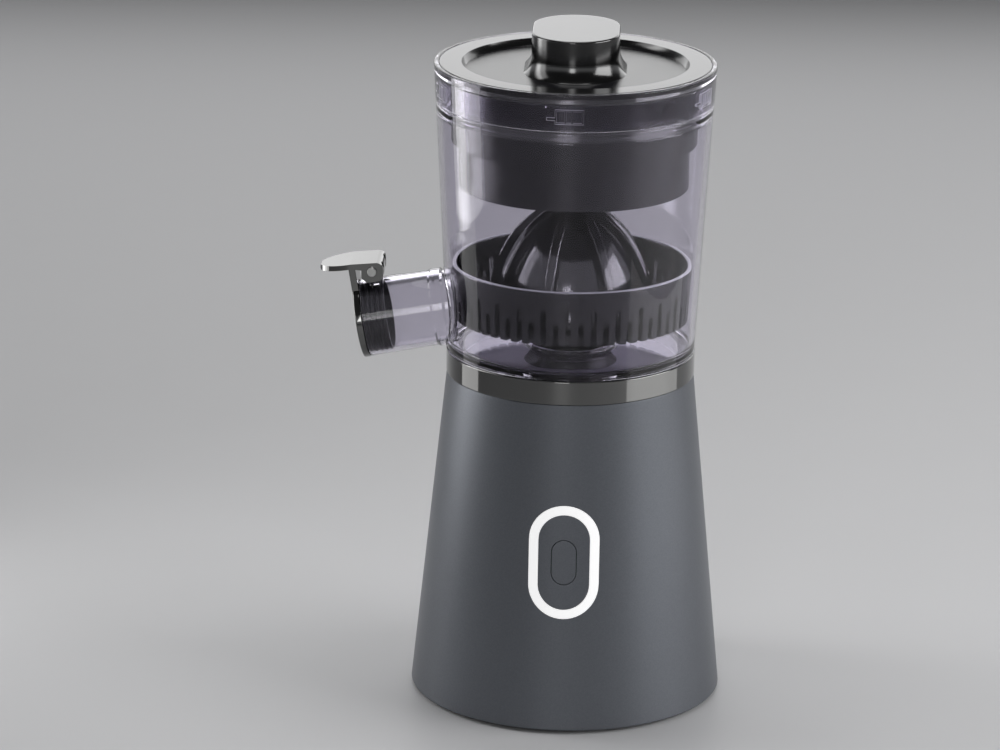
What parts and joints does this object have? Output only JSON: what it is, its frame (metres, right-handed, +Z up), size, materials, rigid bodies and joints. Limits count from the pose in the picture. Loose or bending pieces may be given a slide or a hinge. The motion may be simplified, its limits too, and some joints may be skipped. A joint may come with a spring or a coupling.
{
  "type": "citrus press juicer",
  "caption": "Motor-driven citrus press: a ribbed cone turns and rises into a lidded press cup over a slotted filter, in a clear jar with a flap-closed pouring spout.",
  "frame": {"origin": "centre of the rubber foot ring on the floor, on the axis of the jar, the cone and the drive", "axes": "+Z up along the drive axis, -Y towards the button (front), -X towards the spout"},
  "size_m": [0.1823, 0.1415, 0.3042],
  "materials": {
    "satin_slate": "satin metallic paint on moulded plastic",
    "dark_chrome": "polished, slightly dark chrome",
    "polished_lid": "polished steel with a fine turned grain",
    "smoke_clear": "clear moulded plastic with a light smoke tint",
    "charcoal": "charcoal moulded plastic, half gloss",
    "black_rubber": "matt",
    "white_diffuser": "milky diffuser, lit from behind",
    "inner_plastic": "glass-filled nylon",
    "gear_nylon": "natural nylon",
    "gear_steel": "cut steel",
    "bush_brass": "sintered bronze",
    "zinc_screw": "zinc plated",
    "board_green": "solder mask"
  },
  "bodies": {
    "base": {"base_housing": "satin_slate", "bottom_cover": "inner_plastic", "foot_ring": "black_rubber", "cover_screws": "zinc_screw", "chrome_band": "dark_chrome", "top_deck": "charcoal", "light_ring": "white_diffuser", "control_panel": "satin_slate", "control_board": "board_green", "ring_leds": "white_diffuser", "push_switch": "inner_plastic", "cord_gland": "black_rubber", "motor_case": "gear_steel", "motor_end_cap": "inner_plastic", "motor_screws": "zinc_screw", "gearbox_case": "inner_plastic", "gearbox_cover": "inner_plastic", "gearbox_screws": "zinc_screw", "idler_pin": "gear_steel", "shaft_bushes": "bush_brass", "deck_seal": "black_rubber"},
    "button": {"power_button": "satin_slate"},
    "rotor": {"motor_rotor": "gear_steel", "motor_pinion": "bush_brass"},
    "idler": {"idler_gear": "gear_nylon"},
    "drive": {"drive_gear": "gear_nylon", "drive_shaft": "gear_steel", "drive_coupling": "gear_steel"},
    "jar": {"juice_jar": "smoke_clear", "tower_bushes": "charcoal", "juice_spout": "smoke_clear", "spout_seal": "black_rubber", "hinge_pin": "zinc_screw"},
    "flap": {"spout_flap": "dark_chrome"},
    "filter": {"filter_basket": "charcoal"},
    "spindle": {"drive_spindle": "charcoal"},
    "press_cone": {"cone": "charcoal", "cone_stem": "gear_steel"},
    "gasket": {"lid_gasket": "black_rubber"},
    "lid": {"lid_ring": "smoke_clear", "lid_plate": "polished_lid", "press_cup": "charcoal", "cup_screws": "zinc_screw"}
  },
  "joints": [
    {"name": "button_press", "type": "slide", "parent": "base", "child": "button", "axis": [0, 0.9949, -0.1005], "range_m": [0, 0.0012], "stiffness_N_per_m": 2500},
    {"name": "drive_turn", "type": "hinge", "parent": "base", "child": "drive", "pos_m": [0, 0, 0.122], "axis": [0, 0, 1], "range_deg": [0, 2880]},
    {"name": "idler_turn", "type": "hinge", "parent": "base", "child": "idler", "pos_m": [0, 0.027, 0.117], "axis": [0, 0, 1], "range_deg": [-8229, 0]},
    {"name": "rotor_turn", "type": "hinge", "parent": "base", "child": "rotor", "pos_m": [0, 0, 0.072], "axis": [0, 0, 1], "range_deg": [0, 41143]},
    {"name": "jar_lift", "type": "slide", "parent": "base", "child": "jar", "axis": [0, 0, 1], "range_m": [0, 0.06]},
    {"name": "flap_swing", "type": "hinge", "parent": "jar", "child": "flap", "pos_m": [-0.08849, 0, 0.19416], "axis": [0, 1, 0], "range_deg": [0, 90]},
    {"name": "filter_lift", "type": "slide", "parent": "jar", "child": "filter", "axis": [0, 0, 1], "range_m": [0, 0.13]},
    {"name": "spindle_turn", "type": "hinge", "parent": "filter", "child": "spindle", "pos_m": [0, 0, 0.188], "axis": [0, 0, 1], "range_deg": [0, 2880]},
    {"name": "cone_rise", "type": "slide", "parent": "spindle", "child": "press_cone", "axis": [0, 0, 1], "range_m": [0, 0.032]},
    {"name": "lid_lift", "type": "slide", "parent": "filter", "child": "gasket", "axis": [0, 0, 1], "range_m": [0, 0.08]},
    {"name": "lid_turn", "type": "hinge", "parent": "gasket", "child": "lid", "pos_m": [0, 0, 0.285], "axis": [0, 0, 1], "range_deg": [-14, 0]}
  ],
  "couplings": [
    {"joint": "idler_turn", "follows": "drive_turn", "ratio": -2.8571},
    {"joint": "rotor_turn", "follows": "drive_turn", "ratio": 14.286},
    {"joint": "spindle_turn", "follows": "drive_turn", "ratio": 1},
    {"joint": "cone_rise", "follows": "drive_turn", "m_per_rad": 0.00063662}
  ]
}
